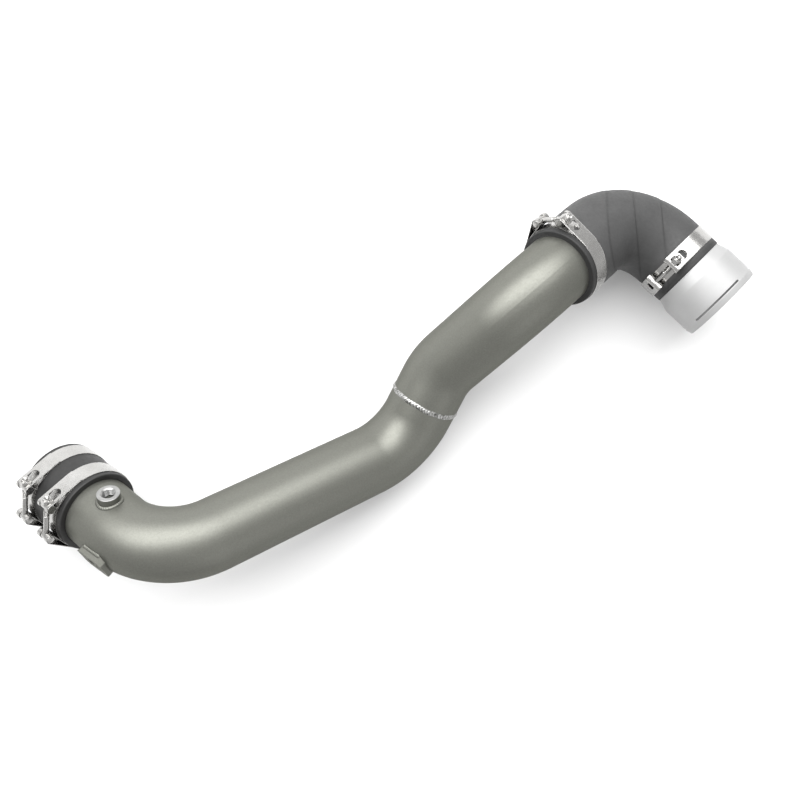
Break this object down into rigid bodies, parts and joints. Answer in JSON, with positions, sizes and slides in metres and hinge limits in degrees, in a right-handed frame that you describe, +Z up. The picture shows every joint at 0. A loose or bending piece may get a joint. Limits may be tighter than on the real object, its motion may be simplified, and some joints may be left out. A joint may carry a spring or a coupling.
{
  "type": "intercooler pipe",
  "caption": "Bent charge-air pipe with a welded joint, threaded bung and sensor flange, a clamped rubber coupler at one end and a clamped rubber elbow with a quick-connect adapter at the other",
  "frame": {"origin": "Centre of the bounding box on the floor that the pipe rests on", "axes": "+Z is up with the pipe lying as it comes to rest; +X runs from the straight coupler's end towards the adapter's end; +Y is to the left of +X"},
  "size_m": [0.8038, 0.3922, 0.1723],
  "materials": {
    "coated_metal": "grey metallic powder coat with a fine texture over aluminium tube",
    "bare_weld": "bare rippled weld metal",
    "stainless_steel": "bright rolled stainless strip and plated fasteners",
    "black_rubber": "matte black reinforced rubber",
    "grey_rubber": "dark grey reinforced rubber with the faint ribs of its wrapping",
    "machined_aluminium": "light satin machined aluminium"
  },
  "bodies": {
    "root": {"lower_tube": "coated_metal", "upper_tube": "coated_metal", "weld_bead": "bare_weld", "sensor_bung": "coated_metal", "bung_weld": "coated_metal", "sensor_flange": "coated_metal", "flange_weld": "coated_metal", "straight_coupler": "black_rubber", "elbow_hose": "grey_rubber", "adapter": "machined_aluminium", "seal_ring": "black_rubber", "clamp_1_band": "stainless_steel", "clamp_1_bridge": "stainless_steel", "clamp_1_t_bolt": "stainless_steel", "clamp_1_trunnion": "stainless_steel", "clamp_1_nut": "stainless_steel", "clamp_2_band": "stainless_steel", "clamp_2_bridge": "stainless_steel", "clamp_2_t_bolt": "stainless_steel", "clamp_2_trunnion": "stainless_steel", "clamp_2_nut": "stainless_steel", "clamp_3_band": "stainless_steel", "clamp_3_bridge": "stainless_steel", "clamp_3_t_bolt": "stainless_steel", "clamp_3_trunnion": "stainless_steel", "clamp_3_nut": "stainless_steel", "clamp_4_band": "stainless_steel", "clamp_4_bridge": "stainless_steel", "clamp_4_t_bolt": "stainless_steel", "clamp_4_trunnion": "stainless_steel", "clamp_4_nut": "stainless_steel"}
  },
  "joints": []
}
